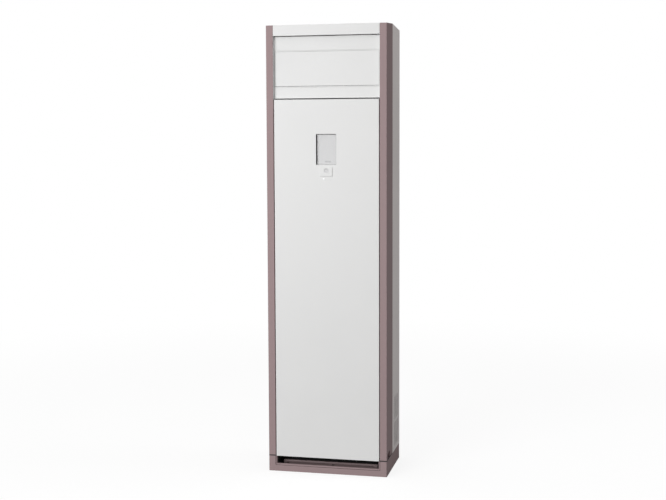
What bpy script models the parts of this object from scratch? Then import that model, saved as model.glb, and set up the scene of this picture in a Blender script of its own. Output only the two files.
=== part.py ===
"""Floor standing air conditioner, a slim indoor tower with a motorised outlet flap.

Metres, +Z up. The front faces -Y and +X is its right side as one looks at the front.
The origin is on the floor, under the middle of the cabinet.
"""
import math

import bmesh
import bpy
from mathutils import Matrix, Vector

# Overall size
WIDTH = 0.472
DEPTH = 0.300
HEIGHT = 1.750
FRONT_FALL = 0.008
REAR_FALL = 0.012
GAP = 0.0003
SHEET = 0.001
SHARP_ANGLE = 40
ROUND_SIDES = 32
SMALL_SIDES = 24
ARC_STEPS = 4
SLOT_ARC_STEPS = 2
SLOT_ROUNDING = 0.45

# Base
BASE_TOP = 0.061
BASE_WALL = 0.010
BASE_FLOOR = 0.005
BASE_ROUND = 0.003
SLOT_HEIGHT = 0.030
SLOT_END = 0.033
SLOT_FLARE = 0.0035
GROOVE_MARGIN = 0.0052
GROOVE_WIDTH = 0.0014
GROOVE_DEPTH = 0.0015
TROUGH_DEPTH = 0.066
RAIL_SETBACK = 0.053
RAIL_THICK = 0.009
RAIL_TOP = 0.0335
RAIL_ROUND = 0.002
RAIL_END_GAP = 0.013
RAIL_LEG = 0.014
PAN_THICK = 0.002
PAN_LEDGE = 0.006
FOOT_THICK = 0.003
FOOT_PROUD = 0.001
FOOT_RADIUS = 0.018
FOOT_INSET = 0.034

# Corner columns
COLUMN_FACE = 0.0275
COLUMN_DEPTH = 0.128
COLUMN_WALL = 0.003
COLUMN_ROUND = 0.002
JOINT_HEIGHT = 0.003
JOINT_DEPTH = 0.002
NOTCH_WIDTH = 0.062
NOTCH_HEIGHT = 0.028
NOTCH_DEPTH = 0.011
NOTCH_ROUND = 0.009
NOTCH_SETBACK = 0.014
RETURN_DEPTH = 0.060

# Sheet metal rear
STAND_OFF = 0.0025
REAR_FLANGE = 0.018
TUCK = 0.012
COVER_SKIRT = 0.020
INTAKE_SLOTS = 7
INTAKE_ROWS = 2
INTAKE_PITCH = 0.014
INTAKE_WIDTH = 0.006
INTAKE_LENGTH = 0.096
INTAKE_BRIDGE = 0.010
INTAKE_RISE = 0.018
INTAKE_SETBACK = 0.042
FILTER_MARGIN = 0.008
FILTER_THICK = 0.004

# Front
CAP_HEIGHT = 0.041
CAP_SEAM = 0.0018
UPPER_BAND = 0.0534
OUTLET_HEIGHT = 0.1418
LOWER_BAND = 0.041
PANEL_SEAM = 0.0045
PANEL_SIDE_GAP = 0.003
PANEL_WALL = 0.003
PANEL_RETURN = 0.020
PANEL_EASE = 0.001
HOOKS = 4
HOOK_HEIGHT = 0.030
DISPLAY_DROP = 0.1325
DISPLAY_WIDTH = 0.080
DISPLAY_HEIGHT = 0.118
DISPLAY_FLANGE = 0.006
WINDOW_SINK = 0.012
WINDOW_THICK = 0.004
WINDOW_EDGE = 0.003
WINDOW_ROUND = 0.0015
KEY_DROP = 0.008
KEY_PLATE_WIDTH = 0.048
KEY_PLATE_HEIGHT = 0.037
KEY_PLATE_PROUD = 0.0025
KEY_PLATE_LAP = 0.003
KEY_PLATE_ROUND = 0.003
KEY_WIDTH = 0.017
KEY_ROUND = 0.0075
KEY_PROUD = 0.0008
KEY_FALL = 0.0132
LENS_RADIUS = 0.0035
LENS_PROUD = 0.001
LENS_DROP = 0.0085
LENS_SIDE = 0.009

# Outlet, flap and duct
RECESS = 0.014
MOULDING = 0.003
STOP_LIP = 0.008
FLAP_GAP = 0.005
FLAP_THICK = 0.004
FLAP_EASE = 0.001
FLAP_RIB = 0.006
FLAP_RIB_THICK = 0.0025
FLAP_RIBS = 3
PIVOT_RISE = 0.020
BOSS_RADIUS = 0.007
BOSS_LENGTH = 0.016
PIN_RADIUS = 0.003
PIN_CLEARANCE = 0.0001
BEARING_RADIUS = 0.008
BEARING_LENGTH = 0.0032
FLOOR_DEPTH = 0.091
DUCT_CURVE = 0.095
DUCT_CURVE_STEPS = 10
DUCT_SPACE = 0.004
DUCT_DROP = 0.360
DUCT_BACK_DROP = 0.100
VANES = 7
VANE_DEPTH = 0.040
VANE_THICK = 0.004
VANE_TAIL = 0.0015
VANE_PEG = 0.003
VANE_CLEARANCE = 0.0025
VANE_SETBACK = 0.004
LINK_THICK = 0.005
LINK_HEIGHT = 0.008
LINK_RISE = 0.022
COIL_THICK = 0.030
COIL_LENGTH = 0.300
COIL_LEAN = 20
COIL_DROP = 0.200
COIL_SETBACK = 0.020

# Back fittings
BRACKET_WIDTH = 0.120
BRACKET_HEIGHT = 0.060
BRACKET_DROP = 0.060
BRACKET_SLOT = 0.007
BRACKET_ROUND = 0.0035
BRACKET_SPACING = 0.080
PIPE_COVER_WIDTH = 0.110
PIPE_COVER_HEIGHT = 0.090
PIPE_COVER_RISE = 0.050
PIPE_COVER_INSET = 0.110
PIPE_COVER_ROUND = 0.007
RIBS = 3
RIB_WIDTH = 0.034
RIB_PITCH = 0.120
RIB_PROUD = 0.0015
RIB_END_LOW = 0.330
RIB_END_HIGH = 0.180
GLAND_RADIUS = 0.014
GLAND_BORE = 0.007
GLAND_RISE = 0.250

# Places that follow from the sizes
half_width = WIDTH / 2
half_depth = DEPTH / 2
front = -half_depth + KEY_PLATE_PROUD + GAP + KEY_PROUD
back_face = half_depth - STAND_OFF
bay_half = half_width - COLUMN_FACE
column_rear = front + COLUMN_DEPTH
front_top = HEIGHT - FRONT_FALL
cap_low = front_top - CAP_HEIGHT
upper_top = cap_low - CAP_SEAM
outlet_high = upper_top - UPPER_BAND
outlet_low = outlet_high - OUTLET_HEIGHT
lower_low = outlet_low - LOWER_BAND
panel_top = lower_low - PANEL_SEAM
panel_low = BASE_TOP + GAP
panel_half = bay_half - PANEL_SIDE_GAP
window_top = panel_top - DISPLAY_DROP
window_low = window_top - DISPLAY_HEIGHT
key_plate_top = window_low - KEY_DROP
key_plate_low = key_plate_top - KEY_PLATE_HEIGHT
rear_low = HEIGHT - REAR_FALL - COVER_SKIRT
band_face = front + RECESS
flap_half = bay_half - FLAP_GAP
pivot_y = band_face + FLAP_THICK + BOSS_RADIUS / 2
swing = math.hypot(pivot_y - band_face, PIVOT_RISE)
pivot_z = outlet_low + FLAP_GAP + swing
flap_low = pivot_z - PIVOT_RISE
flap_high = outlet_high - FLAP_GAP
duct_front = pivot_y + swing + FLAP_GAP
duct_rear = back_face - 2 * SHEET - GAP - DUCT_SPACE - MOULDING
duct_half = bay_half - GAP
floor_rear = band_face + FLOOR_DEPTH
curve_y = duct_rear - DUCT_CURVE
curve_z = outlet_high - DUCT_CURVE


def clear_scene():
    for thing in list(bpy.data.objects):
        bpy.data.objects.remove(thing)


def finish(name, colour, roughness, metallic=0.0):
    """A plain surface finish."""
    surface = bpy.data.materials.new(name)
    surface.use_nodes = True
    shader = surface.node_tree.nodes["Principled BSDF"]
    shader.inputs["Base Color"].default_value = (*colour, 1.0)
    shader.inputs["Roughness"].default_value = roughness
    shader.inputs["Metallic"].default_value = metallic
    return surface


def place(name, shape, surface, smooth=False):
    """Make an object of a bmesh shape, with its faces pointing out."""
    bmesh.ops.recalc_face_normals(shape, faces=shape.faces)
    mesh = bpy.data.meshes.new(name)
    shape.to_mesh(mesh)
    shape.free()
    if surface:
        mesh.materials.append(surface)
    if smooth:
        mesh.shade_smooth()
        mesh.set_sharp_from_angle(angle=math.radians(SHARP_ANGLE))
    thing = bpy.data.objects.new(name, mesh)
    bpy.context.scene.collection.objects.link(thing)
    return thing


def rounded(corners, radii, steps=ARC_STEPS):
    """An outline whose corners are arcs of the given radii, 0 for a sharp one."""
    points = []
    for index, corner in enumerate(corners):
        here = Vector(corner)
        radius = radii[index]
        if radius == 0:
            points.append(here)
            continue
        before = (Vector(corners[index - 1]) - here).normalized()
        after = (Vector(corners[(index + 1) % len(corners)]) - here).normalized()
        half = before.angle(after) / 2
        centre = here + (before + after).normalized() * radius / math.sin(half)
        first = here + before * radius / math.tan(half) - centre
        last = here + after * radius / math.tan(half) - centre
        start = math.atan2(first.y, first.x)
        turn = (math.atan2(last.y, last.x) - start + math.pi) % math.tau - math.pi
        for step in range(steps + 1):
            angle = start + turn * step / steps
            points.append(centre + Vector((math.cos(angle), math.sin(angle))) * radius)
    return points


def rectangle(low, high, radius=0.0, steps=ARC_STEPS):
    corners = [(low[0], low[1]), (high[0], low[1]), (high[0], high[1]), (low[0], high[1])]
    return rounded(corners, [radius] * 4, steps)


def prism(name, outline, axis, low, high, surface, smooth=False):
    """Extrude a flat outline along one axis: z takes (x, y), x takes (y, z), y takes (x, z)."""
    turn = {
        "z": lambda a, b, along: (a, b, along),
        "x": lambda a, b, along: (along, a, b),
        "y": lambda a, b, along: (a, along, b),
    }[axis]
    shape = bmesh.new()
    ring = [shape.verts.new(turn(point[0], point[1], low)) for point in outline]
    base = shape.faces.new(ring)
    grown = bmesh.ops.extrude_face_region(shape, geom=[base])
    moved = [item for item in grown["geom"] if isinstance(item, bmesh.types.BMVert)]
    bmesh.ops.translate(shape, verts=moved, vec=Vector(turn(0, 0, high - low)))
    return place(name, shape, surface, smooth)


def block(name, low, high, surface=None, bevel=0.0):
    """A box between two corners, with its edges eased where asked."""
    shape = bmesh.new()
    bmesh.ops.create_cube(shape, size=1.0)
    size = Vector(high) - Vector(low)
    middle = (Vector(high) + Vector(low)) / 2
    bmesh.ops.scale(shape, verts=shape.verts, vec=size)
    bmesh.ops.translate(shape, verts=shape.verts, vec=middle)
    if bevel:
        edges = shape.edges[:]
        bmesh.ops.bevel(shape, geom=edges, offset=bevel, segments=2, affect="EDGES", profile=0.5)
    return place(name, shape, surface)


def rod(name, centre, axis, radius, length, surface=None, sides=ROUND_SIDES):
    """A round bar that starts at centre and runs along +X, +Y or +Z."""
    turns = {
        "x": Matrix.Rotation(math.pi / 2, 4, "Y"),
        "y": Matrix.Rotation(-math.pi / 2, 4, "X"),
        "z": Matrix.Identity(4),
    }
    along = {"x": Vector((1, 0, 0)), "y": Vector((0, 1, 0)), "z": Vector((0, 0, 1))}[axis]
    shape = bmesh.new()
    bmesh.ops.create_cone(
        shape,
        cap_ends=True,
        segments=sides,
        radius1=radius,
        radius2=radius,
        depth=length,
        matrix=turns[axis],
    )
    bmesh.ops.translate(shape, verts=shape.verts, vec=Vector(centre) + along * length / 2)
    return place(name, shape, surface, smooth=True)


def slope_top(thing, height, y_front, z_front, y_back, z_back):
    """Lay the vertices at the given height on a plane that tilts from front to back."""
    for vertex in thing.data.vertices:
        if abs(vertex.co.z - height) < 1e-6:
            share = (vertex.co.y - y_front) / (y_back - y_front)
            vertex.co.z = z_front + (z_back - z_front) * share


def combine(thing, tool, operation):
    """Cut a hidden tool from an object, or grow the object by it."""
    tool.hide_render = True
    tool.display_type = "WIRE"
    change = thing.modifiers.new(tool.name, "BOOLEAN")
    change.operation = operation
    change.solver = "EXACT"
    change.object = tool


def cut(thing, tool):
    combine(thing, tool, "DIFFERENCE")


def grow(thing, tool):
    combine(thing, tool, "UNION")


def gather(name, things):
    """One tool of several shapes that stand apart."""
    shape = bmesh.new()
    for thing in things:
        shape.from_mesh(thing.data)
        bpy.data.objects.remove(thing)
    return place(name, shape, None)


def build_base(colours):
    """Moulded plinth: a tray with a flared and grooved air slot across its front, on four pads."""
    corners = rectangle((-half_width, front), (half_width, back_face), BASE_ROUND)
    plinth = prism("base_plinth", corners, "z", FOOT_PROUD, BASE_TOP, colours["mauve"])
    inner = half_width - BASE_WALL
    floor_top = FOOT_THICK + GAP + BASE_FLOOR
    above = BASE_TOP + BASE_WALL
    slot_half = half_width - SLOT_END
    trough_front = front + BASE_WALL
    trough_rear = trough_front + TROUGH_DEPTH
    end = (slot_half, trough_rear, above)
    trough = block("trough_cutter", (-slot_half, trough_front, floor_top), end)
    mouth_low = BASE_TOP - SLOT_HEIGHT
    mouth = block("mouth_cutter", (-slot_half, front - BASE_WALL, mouth_low), end)
    flare = block("flare_cutter", (-slot_half, front - SLOT_FLARE, mouth_low), end)
    for vertex in flare.data.vertices:
        if vertex.co.y < front:
            vertex.co.x += math.copysign(2 * SLOT_FLARE, vertex.co.x)
            vertex.co.z -= 2 * SLOT_FLARE
        else:
            vertex.co.y = front + SLOT_FLARE
    inside = slot_half + GROOVE_MARGIN
    outside = inside + GROOVE_WIDTH
    low = mouth_low - GROOVE_MARGIN
    groove_path = [
        (-outside, low - GROOVE_WIDTH),
        (outside, low - GROOVE_WIDTH),
        (outside, above),
        (inside, above),
        (inside, low),
        (-inside, low),
        (-inside, above),
        (-outside, above),
    ]
    groove = prism("groove_cutter", groove_path, "y", front - BASE_WALL, front + GROOVE_DEPTH, None)
    well = block(
        "well_cutter",
        (-inner, trough_rear + BASE_WALL, floor_top),
        (inner, back_face - BASE_WALL, above),
    )
    for tool in (trough, mouth, flare, groove, well):
        cut(plinth, tool)

    rail_front = front + RAIL_SETBACK
    rail_half = slot_half - RAIL_END_GAP
    rail_shape = rectangle(
        (rail_front, RAIL_TOP - RAIL_THICK),
        (rail_front + RAIL_THICK, RAIL_TOP),
        RAIL_ROUND,
        SLOT_ARC_STEPS,
    )
    rail = prism("slot_rail", rail_shape, "x", -rail_half, rail_half, colours["mauve"])
    for side in (-1, 0, 1):
        middle = side * (rail_half - RAIL_LEG / 2)
        leg = block(
            f"rail_leg_tool_{side + 1}",
            (middle - RAIL_LEG / 2, rail_front, floor_top + GAP),
            (middle + RAIL_LEG / 2, rail_front + RAIL_THICK, RAIL_TOP - RAIL_THICK / 2),
        )
        grow(rail, leg)

    pan_half = half_width - COLUMN_WALL - SHEET - 2 * GAP
    block(
        "base_pan",
        (-pan_half, trough_rear + BASE_WALL - PAN_LEDGE, BASE_TOP + GAP),
        (pan_half, back_face - BASE_WALL + PAN_LEDGE, BASE_TOP + GAP + PAN_THICK),
        colours["steel"],
    )
    for name, x_side, y_side in (
        ("foot_front_left", -1, -1),
        ("foot_front_right", 1, -1),
        ("foot_rear_left", -1, 1),
        ("foot_rear_right", 1, 1),
    ):
        x = x_side * (half_width - FOOT_INSET)
        y = y_side * (half_depth - FOOT_INSET)
        rod(name, (x, y, 0), "z", FOOT_RADIUS, FOOT_THICK, colours["rubber"])
        cut(plinth, rod(f"{name}_seat_cutter", (x, y, 0), "z", FOOT_RADIUS + GAP, FOOT_THICK + GAP))


def build_column(name, side, colours):
    """Moulded corner column: front, side with a hand notch at its foot, top, and return at the outlet."""
    outer = side * half_width
    inner = side * bay_half
    outline = rounded(
        [(inner, front), (outer, front), (outer, column_rear), (inner, column_rear)],
        [COLUMN_ROUND / 2, COLUMN_ROUND, 0, 0],
    )
    column = prism(name, outline, "z", BASE_TOP + GAP, HEIGHT, colours["mauve"])
    slope_top(column, HEIGHT, front, front_top, column_rear, HEIGHT)
    shut = front_top - COLUMN_WALL
    pocket_x = sorted((inner + side * COLUMN_WALL, outer - side * COLUMN_WALL))
    hollow = block(
        f"{name}_hollow_cutter",
        (pocket_x[0], front + COLUMN_WALL, 0),
        (pocket_x[1], column_rear + COLUMN_WALL, shut),
    )
    open_x = sorted((inner - side * COLUMN_WALL, inner + side * 2 * COLUMN_WALL))
    behind = block(
        f"{name}_open_cutter",
        (open_x[0], front + RETURN_DEPTH, 0),
        (open_x[1], column_rear + COLUMN_WALL, shut),
    )
    cut(column, hollow)
    cut(column, behind)
    foot = BASE_TOP + GAP
    joint_x = sorted((inner - side * COLUMN_WALL, outer - side * JOINT_DEPTH))
    rim_x = sorted((outer - side * JOINT_DEPTH, outer + side * COLUMN_WALL))
    joint_top = foot + JOINT_HEIGHT
    joint = block(
        f"{name}_joint_cutter",
        (joint_x[0], front - COLUMN_WALL, foot - COLUMN_WALL),
        (joint_x[1], front + JOINT_DEPTH, joint_top),
    )
    rim = block(
        f"{name}_rim_cutter",
        (rim_x[0], front - COLUMN_WALL, foot - COLUMN_WALL),
        (rim_x[1], column_rear + COLUMN_WALL, joint_top),
    )
    cut(column, joint)
    cut(column, rim)
    start = front + NOTCH_SETBACK
    end = start + NOTCH_WIDTH
    notch_floor = outer - side * NOTCH_DEPTH
    wall_x = sorted((notch_floor - side * COLUMN_WALL, outer - side * COLUMN_WALL / 2))
    pocket = block(
        f"{name}_pocket_tool",
        (wall_x[0], start - COLUMN_WALL, foot),
        (wall_x[1], end + COLUMN_WALL, foot + NOTCH_HEIGHT + COLUMN_WALL),
    )
    grow(column, pocket)
    shape = rectangle((start, foot - NOTCH_HEIGHT), (end, foot + NOTCH_HEIGHT), NOTCH_ROUND)
    reach = sorted((notch_floor, outer + side * COLUMN_WALL))
    cut(column, prism(f"{name}_notch_cutter", shape, "x", reach[0], reach[1], None))


def build_side_panel(name, filter_name, side, colours):
    """Painted steel side: joggled behind the column, flanged at the back, slotted low down."""
    edge = column_rear + GAP
    rear = back_face - SHEET - GAP
    tuck_x = half_width - COLUMN_WALL - GAP
    points = [
        (half_width, edge),
        (half_width, rear),
        (half_width - REAR_FLANGE, rear),
        (half_width - REAR_FLANGE, rear - SHEET),
        (half_width - SHEET, rear - SHEET),
        (half_width - SHEET, edge + SHEET),
        (tuck_x - SHEET, edge + SHEET),
        (tuck_x - SHEET, edge - TUCK),
        (tuck_x, edge - TUCK),
        (tuck_x, edge),
    ]
    outline = [(side * x, y) for x, y in points]
    panel = prism(name, outline, "z", BASE_TOP + GAP, rear_low - GAP, colours["side"])

    slot_front = column_rear + INTAKE_SETBACK
    low = BASE_TOP + INTAKE_RISE
    ends = sorted((side * (half_width - 3 * SHEET), side * (half_width + SHEET)))
    slots = []
    for row in range(INTAKE_ROWS):
        slot_low = low + row * (INTAKE_LENGTH + INTAKE_BRIDGE)
        for slot in range(INTAKE_SLOTS):
            y = slot_front + slot * INTAKE_PITCH
            shape = rectangle(
                (y, slot_low),
                (y + INTAKE_WIDTH, slot_low + INTAKE_LENGTH),
                INTAKE_WIDTH * SLOT_ROUNDING,
                SLOT_ARC_STEPS,
            )
            slots.append(prism(f"{name}_slot_{row}_{slot}", shape, "x", ends[0], ends[1], None))
    cut(panel, gather(f"{name}_slots_cutter", slots))

    field = (INTAKE_SLOTS - 1) * INTAKE_PITCH + INTAKE_WIDTH
    stack = INTAKE_ROWS * (INTAKE_LENGTH + INTAKE_BRIDGE) - INTAKE_BRIDGE
    reach = sorted((side * (half_width - SHEET - GAP), side * (half_width - SHEET - GAP - FILTER_THICK)))
    block(
        filter_name,
        (reach[0], slot_front - FILTER_MARGIN, low - FILTER_MARGIN),
        (reach[1], slot_front + field + FILTER_MARGIN, low + stack + FILTER_MARGIN),
        colours["filter"],
    )


def build_back(colours):
    """Steel back with pressed ribs, a wall bracket, a cover over the pipe hole and a cable gland."""
    panel = block(
        "back_panel",
        (-half_width, back_face - SHEET, BASE_TOP + GAP),
        (half_width, back_face, rear_low - GAP),
        colours["side"],
    )
    for index in range(RIBS):
        middle = (index - (RIBS - 1) / 2) * RIB_PITCH
        low = BASE_TOP + RIB_END_LOW
        high = rear_low - RIB_END_HIGH
        half = RIB_WIDTH / 2
        outer = rectangle((middle - half, low), (middle + half, high), 2 * half * SLOT_ROUNDING)
        half -= SHEET
        low += SHEET
        high -= SHEET
        inner = rectangle((middle - half, low), (middle + half, high), 2 * half * SLOT_ROUNDING)
        proud = back_face + RIB_PROUD
        grow(panel, prism(f"rib_tool_{index}", outer, "y", back_face - SHEET / 2, proud, None))
        cut(panel, prism(f"rib_cutter_{index}", inner, "y", back_face - 2 * SHEET, proud - SHEET, None))
    bracket_high = rear_low - BRACKET_DROP
    bracket_low = bracket_high - BRACKET_HEIGHT
    bracket = prism(
        "wall_bracket",
        rectangle((-BRACKET_WIDTH / 2, bracket_low), (BRACKET_WIDTH / 2, bracket_high), BRACKET_ROUND),
        "y",
        back_face + GAP,
        half_depth,
        colours["steel"],
    )
    middle = (bracket_low + bracket_high) / 2
    for side in (-1, 1):
        x = side * BRACKET_SPACING / 2
        hole = rectangle(
            (x - BRACKET_SLOT, middle - BRACKET_SLOT / 2),
            (x + BRACKET_SLOT, middle + BRACKET_SLOT / 2),
            BRACKET_SLOT * SLOT_ROUNDING,
        )
        ends = (back_face - SHEET, half_depth + SHEET)
        cut(bracket, prism(f"bracket_cutter_{side + 1}", hole, "y", ends[0], ends[1], None))

    cover_x = -half_width + PIPE_COVER_INSET
    cover_low = BASE_TOP + PIPE_COVER_RISE
    prism(
        "pipe_cover",
        rectangle(
            (cover_x - PIPE_COVER_WIDTH / 2, cover_low),
            (cover_x + PIPE_COVER_WIDTH / 2, cover_low + PIPE_COVER_HEIGHT),
            PIPE_COVER_ROUND,
        ),
        "y",
        back_face + GAP,
        half_depth,
        colours["side"],
    )
    gland_z = BASE_TOP + GLAND_RISE
    gland = rod(
        "cable_gland",
        (cover_x, back_face + GAP, gland_z),
        "y",
        GLAND_RADIUS,
        STAND_OFF - GAP,
        colours["rubber"],
    )
    for thing, radius, label in ((gland, GLAND_BORE, "gland"), (panel, GLAND_BORE + SHEET, "panel")):
        start = (cover_x, back_face - 3 * SHEET, gland_z)
        cut(thing, rod(f"{label}_bore_cutter", start, "y", radius, STAND_OFF + 6 * SHEET))


def build_top(colours):
    """White moulded cap between the columns and a folded steel cover behind them."""
    cap_half = bay_half - GAP
    rear = column_rear - GAP
    cap = block("top_cap", (-cap_half, front, cap_low), (cap_half, rear, HEIGHT), colours["white"])
    slope_top(cap, HEIGHT, front, front_top, column_rear, HEIGHT)
    under = block(
        "cap_cutter",
        (-cap_half - MOULDING, front + MOULDING, cap_low - MOULDING),
        (cap_half + MOULDING, rear + MOULDING, HEIGHT - MOULDING),
    )
    slope_top(under, HEIGHT - MOULDING, front, front_top - MOULDING, column_rear, HEIGHT - MOULDING)
    cut(cap, under)

    edge = column_rear + GAP
    high = (half_width, back_face, HEIGHT)
    cover = block("top_cover", (-half_width, edge, rear_low), high, colours["side"])
    slope_top(cover, HEIGHT, edge, HEIGHT, back_face, HEIGHT - REAR_FALL)
    inside = block(
        "cover_cutter",
        (-half_width + SHEET, edge + SHEET, rear_low - SHEET),
        (half_width - SHEET, back_face - SHEET, HEIGHT - SHEET),
    )
    slope_top(inside, HEIGHT - SHEET, edge, HEIGHT - SHEET, back_face, HEIGHT - REAR_FALL - SHEET)
    cut(cover, inside)


def build_front_panel(colours):
    """White front panel: a moulded pan hooked to the columns, with the display and keys in it."""
    rear = front + PANEL_RETURN
    panel = block(
        "front_panel",
        (-panel_half, front, panel_low),
        (panel_half, rear, panel_top),
        colours["white"],
        bevel=PANEL_EASE,
    )
    hollow = block(
        "panel_hollow_cutter",
        (-panel_half + PANEL_WALL, front + PANEL_WALL, panel_low + PANEL_WALL),
        (panel_half - PANEL_WALL, rear + PANEL_WALL, panel_top - PANEL_WALL),
    )
    cut(panel, hollow)
    display = prism(
        "panel_display_cutter",
        rectangle((-DISPLAY_WIDTH / 2, window_low), (DISPLAY_WIDTH / 2, window_top), WINDOW_EDGE),
        "y",
        front - PANEL_WALL,
        front + 2 * PANEL_WALL,
        None,
    )
    cut(panel, display)
    hole_half = KEY_PLATE_WIDTH / 2 - KEY_PLATE_LAP
    keys = block(
        "panel_key_cutter",
        (-hole_half, front - PANEL_WALL, key_plate_low + KEY_PLATE_LAP),
        (hole_half, front + 2 * PANEL_WALL, key_plate_top - KEY_PLATE_LAP),
    )
    cut(panel, keys)
    lens_hole = rod(
        "panel_lens_cutter",
        (-LENS_SIDE, front - PANEL_WALL, key_plate_low - LENS_DROP),
        "y",
        LENS_RADIUS,
        3 * PANEL_WALL,
        sides=SMALL_SIDES,
    )
    cut(panel, lens_hole)
    spacing = (panel_top - panel_low - HOOK_HEIGHT) / HOOKS
    for index in range(HOOKS):
        low = panel_low + spacing * (index + 0.5)
        for side in (-1, 1):
            ends = sorted((side * (panel_half - PANEL_WALL / 2), side * (bay_half - GAP)))
            hook = block(
                f"hook_tool_{index}_{side + 1}",
                (ends[0], rear - 2 * PANEL_WALL, low),
                (ends[1], rear - PANEL_WALL / 2, low + HOOK_HEIGHT),
            )
            grow(panel, hook)


def build_display(colours):
    """Dark display tray behind the panel, its window, the raised key plate, its key and a signal lens."""
    tray_front = front + PANEL_WALL + GAP
    window_front = front + WINDOW_SINK
    tray_floor = window_front + WINDOW_THICK + GAP
    half = DISPLAY_WIDTH / 2
    tray = block(
        "display_tray",
        (-half - DISPLAY_FLANGE, tray_front, window_low - DISPLAY_FLANGE),
        (half + DISPLAY_FLANGE, tray_floor + PANEL_WALL, window_top + DISPLAY_FLANGE),
        colours["dark"],
    )
    pocket = prism(
        "tray_cutter",
        rectangle((-half, window_low), (half, window_top), WINDOW_EDGE),
        "y",
        front,
        tray_floor,
        None,
    )
    cut(tray, pocket)
    prism(
        "display_window",
        rectangle(
            (-half + WINDOW_EDGE, window_low + GAP),
            (half - WINDOW_EDGE, window_top - WINDOW_EDGE),
            WINDOW_ROUND,
        ),
        "y",
        window_front,
        window_front + WINDOW_THICK,
        colours["window"],
    )

    plate_half = KEY_PLATE_WIDTH / 2
    plate_front = front - KEY_PLATE_PROUD
    plate = prism(
        "key_plate",
        rectangle((-plate_half, key_plate_low), (plate_half, key_plate_top), KEY_PLATE_ROUND),
        "y",
        plate_front,
        front - GAP,
        colours["white"],
    )
    reach = KEY_PLATE_LAP + GAP
    spigot = block(
        "key_spigot_tool",
        (-plate_half + reach, front - 2 * GAP, key_plate_low + reach),
        (plate_half - reach, front + PANEL_WALL, key_plate_top - reach),
    )
    grow(plate, spigot)
    key_middle = key_plate_top - KEY_FALL
    half = KEY_WIDTH / 2
    prism(
        "power_key",
        rectangle((-half, key_middle - half), (half, key_middle + half), KEY_ROUND),
        "y",
        plate_front - GAP - KEY_PROUD,
        plate_front - GAP,
        colours["key"],
    )
    rod(
        "signal_lens",
        (-LENS_SIDE, front - LENS_PROUD, key_plate_low - LENS_DROP),
        "y",
        LENS_RADIUS - GAP,
        LENS_PROUD + PANEL_WALL,
        colours["window"],
        sides=SMALL_SIDES,
    )


def build_outlet_bands(colours):
    """The two white bands above and below the flap, which run back as the duct's roof and floor."""
    wall = MOULDING
    lip = band_face + FLAP_THICK + FLAP_GAP
    upper = [
        (band_face, upper_top),
        (band_face, outlet_high),
        (lip, outlet_high),
        (lip, outlet_high - STOP_LIP),
        (lip + wall, outlet_high - STOP_LIP),
        (lip + wall, outlet_high),
        (curve_y - GAP, outlet_high),
        (curve_y - GAP, outlet_high + wall),
        (band_face + wall, outlet_high + wall),
        (band_face + wall, upper_top),
    ]
    lower = [
        (band_face, lower_low),
        (band_face, outlet_low),
        (floor_rear, outlet_low),
        (floor_rear, outlet_low - wall),
        (band_face + wall, outlet_low - wall),
        (band_face + wall, lower_low),
    ]
    prism("outlet_upper_band", upper, "x", -duct_half, duct_half, colours["white"])
    prism("outlet_lower_band", lower, "x", -duct_half, duct_half, colours["white"])


def build_flap(colours):
    """The outlet flap: a ribbed plate that turns on two pins low down at its ends."""
    flap = block(
        "outlet_flap",
        (-flap_half, band_face, flap_low),
        (flap_half, band_face + FLAP_THICK, flap_high),
        colours["white"],
        bevel=FLAP_EASE,
    )
    hinge = Vector((0, pivot_y, pivot_z))
    flap.data.transform(Matrix.Translation(-hinge))
    flap.location = hinge
    inside = band_face + FLAP_THICK / 2
    rib_back = band_face + FLAP_THICK + FLAP_RIB
    rib_low = pivot_z + 2 * BOSS_RADIUS
    rib_high = flap_high - 2 * STOP_LIP
    for index in range(FLAP_RIBS):
        z = rib_low + (rib_high - rib_low) * index / (FLAP_RIBS - 1)
        rib = block(
            f"flap_rib_tool_{index}",
            (-flap_half + BOSS_LENGTH / 2, inside, z - FLAP_RIB_THICK / 2),
            (flap_half - BOSS_LENGTH / 2, rib_back, z + FLAP_RIB_THICK / 2),
        )
        grow(flap, rib)
    for side in (-1, 1):
        label = "left" if side < 0 else "right"
        x = side * (flap_half - BOSS_LENGTH / 2)
        arm = block(
            f"flap_arm_tool_{label}",
            (x - FLAP_RIB_THICK, inside, pivot_z),
            (x + FLAP_RIB_THICK, rib_back, rib_high + FLAP_RIB_THICK),
        )
        start = min(side * flap_half, side * (flap_half - BOSS_LENGTH))
        centre = (start, pivot_y, pivot_z)
        boss = rod(f"flap_boss_tool_{label}", centre, "x", BOSS_RADIUS, BOSS_LENGTH, sides=SMALL_SIDES)
        pin_out = bay_half - 4 * GAP
        pin_in = flap_half - BOSS_LENGTH / 2
        start = min(side * pin_in, side * pin_out)
        pin = rod(f"flap_pin_tool_{label}", (start, pivot_y, pivot_z), "x", PIN_RADIUS, pin_out - pin_in)
        for tool in (arm, boss, pin):
            grow(flap, tool)

        seat = min(side * duct_half, side * (duct_half - BEARING_LENGTH))
        bearing = rod(
            f"flap_bearing_{label}",
            (seat, pivot_y, pivot_z),
            "x",
            BEARING_RADIUS,
            BEARING_LENGTH,
            colours["bearing"],
        )
        bore = rod(
            f"bearing_cutter_{label}",
            (seat - GAP, pivot_y, pivot_z),
            "x",
            PIN_RADIUS + PIN_CLEARANCE,
            BEARING_LENGTH + 2 * GAP,
        )
        cut(bearing, bore)


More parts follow.
